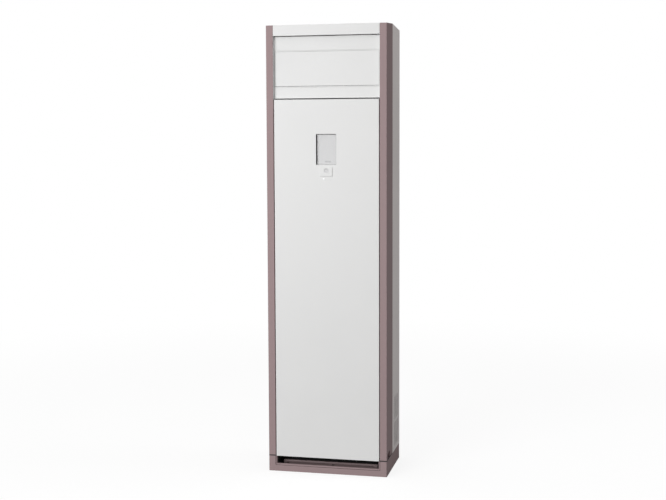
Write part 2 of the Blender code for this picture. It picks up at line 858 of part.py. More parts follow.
def build_duct(colours):
    """Duct walls, the curved back that turns the air forward, and the cooling coil below it."""
    low = outlet_low - DUCT_DROP
    radius = DUCT_CURVE - GAP
    outline = [
        (duct_front, outlet_high - GAP),
        (duct_front, outlet_low + GAP),
        (floor_rear + GAP, outlet_low + GAP),
        (floor_rear + GAP, low),
        (duct_rear - GAP, low),
    ]
    back = []
    for step in range(DUCT_CURVE_STEPS + 1):
        angle = math.pi / 2 * step / DUCT_CURVE_STEPS
        outline.append((curve_y + radius * math.cos(angle), curve_z + radius * math.sin(angle)))
        back.append(angle)
    prism("duct_wall_left", outline, "x", -duct_half, -duct_half + MOULDING, colours["duct"])
    prism("duct_wall_right", outline, "x", duct_half - MOULDING, duct_half, colours["duct"])

    foot = outlet_low - DUCT_BACK_DROP
    inner = [(duct_rear, foot)]
    outer = [(duct_rear + MOULDING, foot)]
    for angle in back:
        inner.append((curve_y + DUCT_CURVE * math.cos(angle), curve_z + DUCT_CURVE * math.sin(angle)))
        reach = DUCT_CURVE + MOULDING
        outer.append((curve_y + reach * math.cos(angle), curve_z + reach * math.sin(angle)))
    prism("duct_back", inner + outer[::-1], "x", -duct_half, duct_half, colours["duct"])

    coil_half = duct_half - MOULDING - GAP
    lean = math.radians(COIL_LEAN)
    middle = Vector((COIL_SETBACK, outlet_low - COIL_DROP))
    up = Vector((math.sin(lean), math.cos(lean))) * COIL_LENGTH / 2
    across = Vector((math.cos(lean), -math.sin(lean))) * COIL_THICK / 2
    corners = [middle - up - across, middle - up + across, middle + up + across, middle + up - across]
    prism("cooling_coil", corners, "x", -coil_half, coil_half, colours["coil"])


def build_vanes(colours):
    """Upright guide vanes behind the flap, on pegs between floor and roof, and their link bar."""
    vane_front = duct_front + VANE_SETBACK
    vane_rear = vane_front + VANE_DEPTH
    clear_half = duct_half - MOULDING
    pitch = 2 * clear_half / VANES
    low = outlet_low + VANE_CLEARANCE
    high = outlet_high - VANE_CLEARANCE
    for index in range(VANES):
        x = -clear_half + pitch * (index + 0.5)
        outline = rounded(
            [
                (x - VANE_THICK / 2, vane_front),
                (x + VANE_THICK / 2, vane_front),
                (x + VANE_TAIL / 2, vane_rear),
                (x - VANE_TAIL / 2, vane_rear),
            ],
            [VANE_THICK * SLOT_ROUNDING, VANE_THICK * SLOT_ROUNDING, 0, 0],
        )
        vane = prism(f"guide_vane_{index + 1}", outline, "z", low, high, colours["white"])
        peg = rod(
            f"vane_peg_tool_{index + 1}",
            (x, vane_front + VANE_DEPTH / 3, outlet_low + GAP),
            "z",
            VANE_PEG,
            OUTLET_HEIGHT - 2 * GAP,
            sides=SMALL_SIDES,
        )
        grow(vane, peg)
    link_low = outlet_low + LINK_RISE
    block(
        "vane_link",
        (-clear_half + pitch / 2 - LINK_HEIGHT, vane_rear + GAP, link_low),
        (clear_half - pitch / 2 + LINK_HEIGHT, vane_rear + GAP + LINK_THICK, link_low + LINK_HEIGHT),
        colours["duct"],
    )


def build_all():
    clear_scene()
    colours = {
        "white": finish("white_plastic", (0.80, 0.80, 0.80), 0.35),
        "mauve": finish("mauve_plastic", (0.33, 0.27, 0.27), 0.40),
        "side": finish("painted_steel", (0.76, 0.74, 0.72), 0.45),
        "steel": finish("galvanised_steel", (0.20, 0.18, 0.18), 0.50, 0.8),
        "rubber": finish("rubber", (0.04, 0.04, 0.04), 0.80),
        "dark": finish("display_plastic", (0.06, 0.06, 0.06), 0.50),
        "window": finish("display_window", (0.66, 0.66, 0.66), 0.15),
        "key": finish("key_plastic", (0.60, 0.60, 0.60), 0.40),
        "bearing": finish("bearing_plastic", (0.70, 0.70, 0.68), 0.40),
        "duct": finish("duct_plastic", (0.55, 0.55, 0.55), 0.60),
        "coil": finish("aluminium_fins", (0.75, 0.76, 0.78), 0.35, 1.0),
        "filter": finish("filter_mesh", (0.05, 0.05, 0.05), 0.90),
    }
    build_base(colours)
    build_column("column_left", -1, colours)
    build_column("column_right", 1, colours)
    build_side_panel("side_panel_left", "intake_filter_left", -1, colours)
    build_side_panel("side_panel_right", "intake_filter_right", 1, colours)
    build_back(colours)
    build_top(colours)
    build_front_panel(colours)
    build_display(colours)
    build_outlet_bands(colours)
    build_flap(colours)
    build_duct(colours)
    build_vanes(colours)


build_all()
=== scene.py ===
"""Floor standing air conditioner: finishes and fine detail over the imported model.

Metres, +Z up. The front faces -Y and +X is its right side as one looks at the front.
"""

import math

import bmesh
import bpy
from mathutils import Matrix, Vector


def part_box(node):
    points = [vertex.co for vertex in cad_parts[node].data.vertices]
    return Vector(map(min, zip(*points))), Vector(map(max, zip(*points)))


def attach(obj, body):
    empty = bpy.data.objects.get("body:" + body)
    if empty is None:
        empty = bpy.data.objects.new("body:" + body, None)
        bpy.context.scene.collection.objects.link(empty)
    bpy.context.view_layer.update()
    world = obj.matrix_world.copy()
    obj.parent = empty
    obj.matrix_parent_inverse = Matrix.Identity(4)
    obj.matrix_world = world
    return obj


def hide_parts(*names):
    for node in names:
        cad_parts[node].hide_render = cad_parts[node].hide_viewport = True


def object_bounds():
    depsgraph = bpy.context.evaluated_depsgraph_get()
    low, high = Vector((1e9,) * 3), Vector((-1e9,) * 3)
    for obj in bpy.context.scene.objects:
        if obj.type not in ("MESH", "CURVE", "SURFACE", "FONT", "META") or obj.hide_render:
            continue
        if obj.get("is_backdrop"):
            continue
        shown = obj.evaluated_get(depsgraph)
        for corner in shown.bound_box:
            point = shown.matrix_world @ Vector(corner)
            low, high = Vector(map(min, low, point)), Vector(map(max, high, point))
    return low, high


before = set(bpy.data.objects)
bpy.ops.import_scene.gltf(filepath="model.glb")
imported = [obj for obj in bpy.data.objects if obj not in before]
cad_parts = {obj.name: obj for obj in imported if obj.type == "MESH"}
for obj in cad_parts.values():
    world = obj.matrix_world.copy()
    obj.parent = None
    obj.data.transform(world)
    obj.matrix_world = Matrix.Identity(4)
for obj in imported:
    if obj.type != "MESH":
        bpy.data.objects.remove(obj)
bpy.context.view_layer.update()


# Camera
# It stands in front, a little to the cabinet's right, at chest height and looks slightly down.
# A small shift leaves the uprights nearly parallel, as they are in the photograph.
PHOTO_WIDTH = 666
SENSOR_WIDTH = 36
FOCAL_PIXELS = 1164.4
SHIFT_PIXELS = -20
CAMERA_PLACE = (1.0000, -4.5009, 1.3094)
LEVEL = 90
CAMERA_DIP = 4.5010
CAMERA_TURN = 12.6088
CAMERA_ROLL = -0.2051
camera_data = bpy.data.cameras.new("photo_camera")
camera_data.sensor_width = SENSOR_WIDTH
camera_data.lens = FOCAL_PIXELS / PHOTO_WIDTH * SENSOR_WIDTH
camera_data.shift_y = SHIFT_PIXELS / PHOTO_WIDTH
camera = bpy.data.objects.new("photo_camera", camera_data)
camera.location = CAMERA_PLACE
camera.rotation_euler = (math.radians(LEVEL - CAMERA_DIP), 0, math.radians(CAMERA_TURN))
camera.rotation_euler.rotate_axis("Z", math.radians(CAMERA_ROLL))
bpy.context.scene.collection.objects.link(camera)
bpy.context.scene.camera = camera
bpy.context.scene.view_settings.view_transform = "Standard"


# Studio floor
# A wide matt white floor. Near the cabinet part of its white is light that falls on it, so the soft
# shadow stays, and further off it is the plain white that the camera and polished surfaces see.
FLOOR_SIZE = 60
FLOOR_PAPER = 0.32
FLOOR_GLOSS = 0.20
SHADOW_SHARE = 0.25
FLOOR_WHITE = 0.82
SHADOW_REACH = 1.6
FADE_END = 4.0
bpy.ops.object.select_all(action="DESELECT")
bpy.ops.mesh.primitive_plane_add(size=FLOOR_SIZE)
floor = bpy.context.object
floor.name = "studio_floor"
floor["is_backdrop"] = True


def seen_rays(nodes, links, gloss):
    """1 for rays from the camera or through glass, and a share of it for rays off polished surfaces."""
    path = nodes.new("ShaderNodeLightPath")
    reflected = nodes.new("ShaderNodeMath")
    reflected.operation = "MULTIPLY"
    reflected.inputs[1].default_value = gloss
    links.new(path.outputs["Is Glossy Ray"], reflected.inputs[0])
    camera_or_gloss = nodes.new("ShaderNodeMath")
    camera_or_gloss.operation = "MAXIMUM"
    links.new(path.outputs["Is Camera Ray"], camera_or_gloss.inputs[0])
    links.new(reflected.outputs[0], camera_or_gloss.inputs[1])
    any_look = nodes.new("ShaderNodeMath")
    any_look.operation = "MAXIMUM"
    links.new(camera_or_gloss.outputs[0], any_look.inputs[0])
    links.new(path.outputs["Is Transmission Ray"], any_look.inputs[1])
    return any_look.outputs[0]


floor_paper = bpy.data.materials.new("floor_paper")
floor_paper.use_nodes = True
nodes = floor_paper.node_tree.nodes
links = floor_paper.node_tree.links
nodes.clear()
paper = nodes.new("ShaderNodeBsdfDiffuse")
paper.inputs["Color"].default_value = (FLOOR_PAPER, FLOOR_PAPER, FLOOR_PAPER, 1)
shaded_part = nodes.new("ShaderNodeBsdfDiffuse")
shaded_part.inputs["Color"].default_value = (SHADOW_SHARE, SHADOW_SHARE, SHADOW_SHARE, 1)
white_part = nodes.new("ShaderNodeEmission")
white_part.inputs["Strength"].default_value = FLOOR_WHITE
near_floor = nodes.new("ShaderNodeAddShader")
links.new(shaded_part.outputs["BSDF"], near_floor.inputs[0])
links.new(white_part.outputs["Emission"], near_floor.inputs[1])
far_floor = nodes.new("ShaderNodeEmission")
place = nodes.new("ShaderNodeTexCoord")
distance = nodes.new("ShaderNodeVectorMath")
distance.operation = "LENGTH"
links.new(place.outputs["Object"], distance.inputs[0])
fade = nodes.new("ShaderNodeMapRange")
fade.interpolation_type = "SMOOTHSTEP"
fade.inputs["From Min"].default_value = SHADOW_REACH
fade.inputs["From Max"].default_value = FADE_END
links.new(distance.outputs["Value"], fade.inputs["Value"])
seen_floor = nodes.new("ShaderNodeMixShader")
links.new(fade.outputs["Result"], seen_floor.inputs["Fac"])
links.new(near_floor.outputs["Shader"], seen_floor.inputs[1])
links.new(far_floor.outputs["Emission"], seen_floor.inputs[2])
floor_choice = nodes.new("ShaderNodeMixShader")
links.new(seen_rays(nodes, links, FLOOR_GLOSS), floor_choice.inputs["Fac"])
links.new(paper.outputs["BSDF"], floor_choice.inputs[1])
links.new(seen_floor.outputs["Shader"], floor_choice.inputs[2])
floor_out = nodes.new("ShaderNodeOutputMaterial")
links.new(floor_choice.outputs["Shader"], floor_out.inputs["Surface"])
floor.data.materials.append(floor_paper)


# Studio light
# The room is lit evenly but brighter towards the front, left and top, and white where it is looked at.
# One large soft lamp from the front and left leaves the right side of the cabinet in shade.
ROOM_SHADE = 0.11
ROOM_BRIGHT = 0.66
GLOSS_SHADE = 0.0
GLOSS_DARK_END = -0.3
GLOSS_BRIGHT = 1.0
BRIGHT_SIDE = Vector((-0.5, -0.6, 0.6)).normalized()
LAMP_POWER = 312
LAMP_SIZE = 4.0
LAMP_PLACE = Vector((-3.0, -6.8, 1.7))
LAMP_TARGET = Vector((0, 0, 0.7))
SIDE_LAMP_POWER = 14
SIDE_LAMP_SIZE = 1.2
SIDE_LAMP_PLACE = Vector((2.2, 0.4, 3.0))
SIDE_LAMP_TARGET = Vector((0.2, 0, 1.6))
room = bpy.data.worlds.new("studio_room")
room.use_nodes = True
bpy.context.scene.world = room
nodes = room.node_tree.nodes
links = room.node_tree.links
nodes.clear()
heading = nodes.new("ShaderNodeTexCoord")
towards_light = nodes.new("ShaderNodeVectorMath")
towards_light.operation = "DOT_PRODUCT"
towards_light.inputs[1].default_value = BRIGHT_SIDE
links.new(heading.outputs["Generated"], towards_light.inputs[0])


def room_level(low, high, dark_end=-1):
    """The room's brightness in a direction, from its shaded side to its bright one."""
    level = nodes.new("ShaderNodeMapRange")
    level.inputs["From Min"].default_value = dark_end
    level.inputs["To Min"].default_value = low
    level.inputs["To Max"].default_value = high
    links.new(towards_light.outputs["Value"], level.inputs["Value"])
    glow = nodes.new("ShaderNodeBackground")
    glow.inputs["Color"].default_value = (1, 1, 1, 1)
    links.new(level.outputs["Result"], glow.inputs["Strength"])
    return glow.outputs["Background"]


path = nodes.new("ShaderNodeLightPath")
gloss_choice = nodes.new("ShaderNodeMixShader")
links.new(path.outputs["Is Glossy Ray"], gloss_choice.inputs["Fac"])
links.new(room_level(ROOM_SHADE, ROOM_BRIGHT), gloss_choice.inputs[1])
links.new(room_level(GLOSS_SHADE, GLOSS_BRIGHT, GLOSS_DARK_END), gloss_choice.inputs[2])
straight_look = nodes.new("ShaderNodeMath")
straight_look.operation = "MAXIMUM"
links.new(path.outputs["Is Camera Ray"], straight_look.inputs[0])
links.new(path.outputs["Is Transmission Ray"], straight_look.inputs[1])
white_room = nodes.new("ShaderNodeBackground")
white_room.inputs["Color"].default_value = (1, 1, 1, 1)
room_choice = nodes.new("ShaderNodeMixShader")
links.new(straight_look.outputs[0], room_choice.inputs["Fac"])
links.new(gloss_choice.outputs["Shader"], room_choice.inputs[1])
links.new(white_room.outputs["Background"], room_choice.inputs[2])
room_out = nodes.new("ShaderNodeOutputWorld")
links.new(room_choice.outputs["Shader"], room_out.inputs["Surface"])


def soft_lamp(name, size, power, place, target):
    """A square soft lamp that points at a place on the cabinet."""
    lamp_data = bpy.data.lights.new(name, "AREA")
    lamp_data.size = size
    lamp_data.energy = power
    lamp = bpy.data.objects.new(name, lamp_data)
    lamp.location = place
    lamp.rotation_euler = (target - place).to_track_quat("-Z", "Y").to_euler()
    bpy.context.scene.collection.objects.link(lamp)


soft_lamp("front_lamp", LAMP_SIZE, LAMP_POWER, LAMP_PLACE, LAMP_TARGET)
soft_lamp("side_lamp", SIDE_LAMP_SIZE, SIDE_LAMP_POWER, SIDE_LAMP_PLACE, SIDE_LAMP_TARGET)


# White mouldings: front panel, cap and outlet bands
# Injection moulded ABS, satin, with the fine even grain that the tool leaves and edges that roll over.
# The panel hooks to the corner columns, the cap clips between their tops, and the bands lie between.
WHITE = (0.800, 0.800, 0.795)
MOULDED_EDGE = 0.0006
SHARP_FROM = math.radians(40)
FLAT_WITHIN = math.radians(1)
WELD_REACH = 0.00001
FLOW_SCALE = 5
FLOW_DETAIL = 3
FLOW_LOW = 0.3
FLOW_HIGH = 0.7
GLOSS_DRIFT = 0.03
GRAIN_DETAIL = 2
GRAIN_STRENGTH = 0.3
MIX_FIRST = 6
MIX_SECOND = 7
MIX_RESULT = 2


def start_finish(name):
    """A new finish, its nodes and links, and the object coordinates that its patterns read."""
    finish = bpy.data.materials.new(name)
    finish.use_nodes = True
    nodes = finish.node_tree.nodes
    place = nodes.new("ShaderNodeTexCoord").outputs["Object"]
    return finish, nodes, finish.node_tree.links, place


def shader_of(finish):
    """The shader of a finish."""
    return finish.node_tree.nodes["Principled BSDF"]


def tint(finish, pattern, dark, pale):
    """Colour a finish between a dark and a pale tone, as a pattern goes."""
    tone = finish.node_tree.nodes.new("ShaderNodeMix")
    tone.data_type = "RGBA"
    tone.inputs[MIX_FIRST].default_value = (*dark, 1)
    tone.inputs[MIX_SECOND].default_value = (*pale, 1)
    finish.node_tree.links.new(pattern, tone.inputs["Factor"])
    finish.node_tree.links.new(tone.outputs[MIX_RESULT], shader_of(finish).inputs["Base Color"])


def roughen(finish, pattern, strength, relief):
    """Raise a finish's skin by a pattern."""
    bump = finish.node_tree.nodes.new("ShaderNodeBump")
    bump.inputs["Strength"].default_value = strength
    bump.inputs["Distance"].default_value = relief
    finish.node_tree.links.new(pattern, bump.inputs["Height"])
    finish.node_tree.links.new(bump.outputs["Normal"], shader_of(finish).inputs["Normal"])


def moulded_finish(name, colour, roughness, grain, relief, mottle=0.02):
    """A moulded plastic: a little uneven in tone and gloss, with a fine grain in its surface."""
    finish, nodes, links, place = start_finish(name)
    flow = nodes.new("ShaderNodeTexNoise")
    flow.inputs["Scale"].default_value = FLOW_SCALE
    flow.inputs["Detail"].default_value = FLOW_DETAIL
    links.new(place, flow.inputs["Vector"])
    dark = [part * (1 - mottle) for part in colour]
    pale = [part * (1 + mottle) for part in colour]
    tint(finish, flow.outputs["Fac"], dark, pale)

    gloss = nodes.new("ShaderNodeMapRange")
    gloss.inputs["From Min"].default_value = FLOW_LOW
    gloss.inputs["From Max"].default_value = FLOW_HIGH
    gloss.inputs["To Min"].default_value = roughness - GLOSS_DRIFT
    gloss.inputs["To Max"].default_value = roughness + GLOSS_DRIFT
    links.new(flow.outputs["Fac"], gloss.inputs["Value"])
    links.new(gloss.outputs["Result"], shader_of(finish).inputs["Roughness"])

    skin = nodes.new("ShaderNodeTexNoise")
    skin.inputs["Scale"].default_value = grain
    skin.inputs["Detail"].default_value = GRAIN_DETAIL
    links.new(place, skin.inputs["Vector"])
    roughen(finish, skin.outputs["Fac"], GRAIN_STRENGTH, relief)
    return finish


def take_up(piece):
    """Select one piece and nothing else."""
    bpy.ops.object.select_all(action="DESELECT")
    piece.select_set(True)
    bpy.context.view_layer.objects.active = piece


def ease(piece, edge, segments=2):
    """Roll over a piece's sharp edges and shade it smooth."""
    take_up(piece)
    roll = piece.modifiers.new("rolled_edge", "BEVEL")
    roll.width = edge
    roll.segments = segments
    roll.limit_method = "ANGLE"
    roll.angle_limit = SHARP_FROM
    bpy.ops.object.modifier_apply(modifier="rolled_edge")
    bpy.ops.object.shade_smooth_by_angle(angle=SHARP_FROM)
    piece.modifiers.new("flat_faces", "WEIGHTED_NORMAL").keep_sharp = True
    bpy.ops.object.modifier_apply(modifier="flat_faces")


def fit(piece, finish, body="cabinet"):
    """Give a piece its finish and fix it to its body."""
    piece.data.materials.clear()
    piece.data.materials.append(finish)
    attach(piece, body)


def copy_node(node, name):
    """A copy of a CAD node's shape, its triangles merged into plain faces."""
    piece = bpy.data.objects.new(name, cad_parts[node].data.copy())
    piece.data.name = name
    bpy.context.scene.collection.objects.link(piece)
    take_up(piece)
    bpy.ops.mesh.customdata_custom_splitnormals_clear()
    bpy.ops.object.mode_set(mode="EDIT")
    bpy.ops.mesh.select_all(action="SELECT")
    bpy.ops.mesh.remove_doubles(threshold=WELD_REACH)
    bpy.ops.mesh.dissolve_limited(angle_limit=FLAT_WITHIN)
    bpy.ops.object.mode_set(mode="OBJECT")
    return piece


def soften(node, name, edge, finish, segments=2):
    """A piece that stands for a CAD node: the same shape with its sharp edges rolled over."""
    piece = copy_node(node, name)
    ease(piece, edge, segments)
    fit(piece, finish)
    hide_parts(node)
    return piece


white_plastic = moulded_finish("white_plastic", WHITE, roughness=0.38, grain=900, relief=0.00006)
soften("front_panel", "front_panel_moulding", MOULDED_EDGE, white_plastic)
soften("top_cap", "top_cap_moulding", MOULDED_EDGE, white_plastic)
soften("outlet_upper_band", "upper_band_moulding", MOULDED_EDGE, white_plastic)
soften("outlet_lower_band", "lower_band_moulding", MOULDED_EDGE, white_plastic)


# Outlet: flap, cheeks and draught lip
# The white flap, ribbed behind, turns on a pin at each end. The outlet frame shows as a thin cheek on
# each column's inner side. A soft lip moulded on it closes the flap's gap and stays clear of its swing.
FLAP_GAP = 0.005
FLAP_SKIN = 0.002
FLAP_EDGE = 0.0003
CHEEK_THICK = 0.0007
CHEEK_SETBACK = 0.0012
LIP_WIDTH = 0.004
LIP_TOP_EXTRA = 0.0006
LIP_LOW_EXTRA = 0.0012
LIP_THICK = 0.0012
LIP_EDGE = 0.0003
LIP_FIT = 0.0001
LIP_WHITE = (0.780, 0.780, 0.775)
SQUARE_ON = 0.9
SIDES = ((-1, "left"), (1, "right"))


def start_block(name, low, high):
    """A block between two corners, to be shaped into a piece."""
    size = Vector(high) - Vector(low)
    middle = (Vector(high) + Vector(low)) / 2
    bpy.ops.object.select_all(action="DESELECT")
    bpy.ops.mesh.primitive_cube_add(size=1, location=middle, scale=size)
    piece = bpy.context.object
    piece.name = name
    piece.data.name = name
    bpy.ops.object.transform_apply(location=True, rotation=True, scale=True)
    return piece


def open_faces(piece, wanted):
    """Open a piece in edit mode with the faces that pass a test selected."""
    take_up(piece)
    bpy.ops.object.mode_set(mode="EDIT")
    bpy.ops.mesh.select_mode(type="FACE")
    bpy.ops.mesh.select_all(action="DESELECT")
    shape = bmesh.from_edit_mesh(piece.data)
    for face in shape.faces:
        if wanted(face):
            face.select_set(True)
    bmesh.update_edit_mesh(piece.data)


def move_faces(piece, wanted, shift, rim=0):
    """Move the faces that pass a test, inside a rim where one is given."""
    open_faces(piece, wanted)
    if rim:
        bpy.ops.mesh.inset(thickness=rim)
    bpy.ops.transform.translate(value=shift)
    bpy.ops.object.mode_set(mode="OBJECT")


def cut_frame(piece, wanted, rim):
    """Cut a block through between the two faces that pass a test, and leave a rim."""
    open_faces(piece, wanted)
    bpy.ops.mesh.inset(thickness=rim)
    bpy.ops.mesh.bridge_edge_loops()
    bpy.ops.object.mode_set(mode="OBJECT")


def boolean(piece, tool, operation):
    """Cut a tool from a piece or join it on, and clear the tool away."""
    take_up(piece)
    change = piece.modifiers.new("change", "BOOLEAN")
    change.operation = operation
    change.solver = "EXACT"
    change.object = tool
    bpy.ops.object.modifier_apply(modifier="change")
    bpy.data.objects.remove(tool)


column_low, column_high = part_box("column_left")
band_low, band_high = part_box("outlet_upper_band")
lower_band_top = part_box("outlet_lower_band")[1].z
panel_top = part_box("front_panel")[1].z
cap_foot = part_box("top_cap")[0].z
flap_low, flap_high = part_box("outlet_flap")
front = column_low.y
bay_half = -column_high.x
band_face = band_low.y
flap = copy_node("outlet_flap", "outlet_flap_moulding")
skin = start_block(
    "flap_skin",
    (-bay_half + FLAP_GAP, band_face, flap_low.z),
    (bay_half - FLAP_GAP, band_face + FLAP_SKIN, flap_high.z),
)
boolean(flap, skin, "UNION")
ease(flap, FLAP_EDGE)
fit(flap, white_plastic, body="flap")
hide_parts("outlet_flap")

for side, label in SIDES:
    across = sorted((side * bay_half, side * (bay_half - CHEEK_THICK)))
    cheek = start_block(
        f"outlet_cheek_{label}",
        (across[0], front + CHEEK_SETBACK, panel_top),
        (across[1], band_face, cap_foot),
    )
    ease(cheek, CHEEK_THICK / 3)
    fit(cheek, white_plastic)

lip_plastic = moulded_finish("lip_elastomer", LIP_WHITE, roughness=0.55, grain=700, relief=0.00005)
lip = start_block(
    "draught_lip",
    (band_low.x, band_face + LIP_FIT, lower_band_top),
    (band_high.x, band_face + LIP_FIT + LIP_THICK, flap_high.z + FLAP_GAP),
)
cut_frame(lip, lambda face: abs(face.normal.y) > SQUARE_ON, LIP_WIDTH)
move_faces(
    lip,
    lambda face: face.normal.z < -SQUARE_ON and face.calc_center_median().z > flap_high.z,
    (0, 0, -LIP_TOP_EXTRA),
)
move_faces(
    lip,
    lambda face: face.normal.z > SQUARE_ON and face.calc_center_median().z < flap_low.z,
    (0, 0, LIP_LOW_EXTRA),
)
ease(lip, LIP_EDGE)
fit(lip, lip_plastic)


# Mauve mouldings: corner columns, plinth and slot bar
# The same plastic under a mauve-grey satin lacquer. The columns stand on the plinth and carry the front
# panel. The plinth has the air slot across its front, and a bar stands in it in a darker mauve, which is
# painted shade for the slot.
MAUVE = (0.351, 0.262, 0.267)
SHADED_MAUVE = (0.215, 0.155, 0.157)
MAUVE_SPECULAR = 0.05
MAUVE_METAL = 0.15
COLUMN_EDGE = 0.0006
PLINTH_EDGE = 0.0005
RAIL_EDGE = 0.0006
JOINT_HEIGHT = 0.003
JOINT_EXTRA = 0.001
mauve_plastic = moulded_finish(
    "mauve_plastic", MAUVE, roughness=0.55, grain=1200, relief=0.00004, mottle=0.03
)
shader_of(mauve_plastic).inputs["Specular IOR Level"].default_value = MAUVE_SPECULAR
shader_of(mauve_plastic).inputs["Metallic"].default_value = MAUVE_METAL
# A darker copy of the mauve: painted shade for the bar and the strip deep in the slot.
mauve_painted_shade = moulded_finish(
    "mauve_painted_shade", SHADED_MAUVE, roughness=0.5, grain=1200, relief=0.00004, mottle=0.03
)
foot = column_low.z
for label in ("left", "right"):
    column = copy_node(f"column_{label}", f"column_{label}_moulding")
    for vertex in column.data.vertices:
        if abs(vertex.co.z - foot - JOINT_HEIGHT) < JOINT_EXTRA / 2:
            vertex.co.z += JOINT_EXTRA
    ease(column, COLUMN_EDGE)
    fit(column, mauve_plastic)
    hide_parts(f"column_{label}")
soften("base_plinth", "base_plinth_moulding", PLINTH_EDGE, mauve_plastic)
soften("slot_rail", "slot_rail_moulding", RAIL_EDGE, mauve_painted_shade)


# Slot filter, seals and bead, with painted shade
# Black open-cell foam behind the slot bar keeps dust out, and its black also paints the slot's deep
# shade. A strip of the darker mauve holds its lower edge, painted shade seen through the gap, and black
# rubber lines the slot's ends, painting the shade there. Black rubber seals lie in the joints under the
# columns, and a thin black bead is pressed into the groove round the slot: both paint those gaps'
# shadow.
JOINT_DEPTH = 0.002
SEAL_SETBACK = 0.0002
SEAL_EDGE = 0.0003
SLOT_HEIGHT = 0.030
BAR_END_GAP = 0.013
GROOVE_MARGIN = 0.0052
GROOVE_WIDTH = 0.0014
GROOVE_DEPTH = 0.0015
BEAD_SETBACK = 0.0006
BAR_THICK = 0.009
SHADE_BLACK_RUBBER = (0.020, 0.019, 0.019)
FOAM_THICK = 0.007
FOAM_GAP = 0.002
FOAM_CELLS = 420
# The foam's black also paints the shade deep in the slot.
FOAM_SHADE_BLACK = (0.010, 0.009, 0.009)
FOAM_DARK_SHARE = 0.4
FOAM_PALE_SHARE = 1.8
FOAM_ROUGHNESS = 0.95
FOAM_SPECULAR = 0.1
FOAM_STRENGTH = 0.8
FOAM_RELIEF = 0.001
FOAM_FACE_STEPS = 3
FOAM_CROWN = 0.0012
HOLDER_GAP = 0.0004
HOLDER_RIM = 0.0008
HOLDER_SINK = 0.0003
LINER_THICK = 0.0015
LINER_SETBACK = 0.010


def shade_foam_finish():
    """Black open-cell foam, whose black also paints the slot's shade: small round cells with paler
    walls.
    """
    finish, nodes, links, place = start_finish("slot_shade_foam")
    shader_of(finish).inputs["Roughness"].default_value = FOAM_ROUGHNESS
    shader_of(finish).inputs["Specular IOR Level"].default_value = FOAM_SPECULAR
    cells = nodes.new("ShaderNodeTexVoronoi")
    cells.inputs["Scale"].default_value = FOAM_CELLS
    links.new(place, cells.inputs["Vector"])
    dark = [part * FOAM_DARK_SHARE for part in FOAM_SHADE_BLACK]
    pale = [part * FOAM_PALE_SHARE for part in FOAM_SHADE_BLACK]
    tint(finish, cells.outputs["Distance"], dark, pale)
    roughen(finish, cells.outputs["Distance"], FOAM_STRENGTH, FOAM_RELIEF)
    return finish


def join_pieces(pieces, name):
    """Join pieces of one making into the first of them."""
    bpy.ops.object.select_all(action="DESELECT")
    for piece in pieces:
        piece.select_set(True)
    bpy.context.view_layer.objects.active = pieces[0]
    bpy.ops.object.join()
    pieces[0].name = name
    pieces[0].data.name = name
    return pieces[0]


rail_low, rail_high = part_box("slot_rail")
pan_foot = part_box("base_pan")[0].z
foam_rear = rail_high.y + FOAM_GAP + FOAM_THICK
slot_half = rail_high.x + BAR_END_GAP
foam = start_block(
    "slot_shade_foam",
    (LINER_THICK - slot_half, rail_high.y + FOAM_GAP, rail_low.z),
    (slot_half - LINER_THICK, foam_rear, pan_foot),
)
open_faces(foam, lambda face: face.normal.y < -SQUARE_ON)
for step in range(FOAM_FACE_STEPS):
    bpy.ops.mesh.inset(thickness=FOAM_CROWN)
    bpy.ops.transform.translate(value=(0, -FOAM_CROWN / FOAM_FACE_STEPS / (step + 1), 0))
bpy.ops.object.mode_set(mode="OBJECT")
ease(foam, FOAM_CROWN / 2)
fit(foam, shade_foam_finish())

# Its black paints the shade in the column joints, the slot's groove and the slot's ends.
painted_shade_rubber = moulded_finish(
    "painted_shade_rubber", SHADE_BLACK_RUBBER, roughness=0.7, grain=600, relief=0.0001, mottle=0.1
)
plinth_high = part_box("base_plinth")[1]
joint_high = foot + JOINT_HEIGHT + JOINT_EXTRA
for side, label in SIDES:
    outer = side * plinth_high.x
    across = sorted((side * bay_half, outer - side * SEAL_SETBACK))
    along = start_block(
        f"foot_seal_{label}",
        (across[0], front + SEAL_SETBACK, foot),
        (across[1], front + JOINT_DEPTH, joint_high),
    )
    across = sorted((outer - side * JOINT_DEPTH, outer - side * SEAL_SETBACK))
    back = start_block(
        f"foot_seal_back_{label}",
        (across[0], front + JOINT_DEPTH, foot),
        (across[1], column_high.y, joint_high),
    )
    seal = join_pieces([along, back], f"foot_seal_{label}")
    ease(seal, SEAL_EDGE)
    fit(seal, painted_shade_rubber)

bead_inner = slot_half + GROOVE_MARGIN
bead_outer = bead_inner + GROOVE_WIDTH
bead_high = plinth_high.z - SLOT_HEIGHT - GROOVE_MARGIN
bead_low = bead_high - GROOVE_WIDTH
runs = [((-bead_outer, bead_low), (bead_outer, bead_high))]
for side in (-1, 1):
    ends = sorted((side * bead_inner, side * bead_outer))
    runs.append(((ends[0], bead_high), (ends[1], plinth_high.z)))
strips = []
for low, high in runs:
    near = (low[0], front + BEAD_SETBACK, low[1])
    far = (high[0], front + GROOVE_DEPTH, high[1])
    strips.append(start_block("slot_bead_run", near, far))
bead = join_pieces(strips, "slot_bead")
ease(bead, SEAL_EDGE)
fit(bead, painted_shade_rubber)

# The strip's darker mauve is painted shade, seen through the slot's lower gap.
holder = start_block(
    "foam_holder",
    (rail_low.x, rail_high.y + HOLDER_GAP, rail_low.z),
    (rail_high.x, rail_high.y + FOAM_GAP, rail_high.z - BAR_THICK),
)
move_faces(holder, lambda face: face.normal.y < -SQUARE_ON, (0, HOLDER_SINK, 0), rim=HOLDER_RIM)
ease(holder, HOLDER_SINK)
fit(holder, mauve_painted_shade)

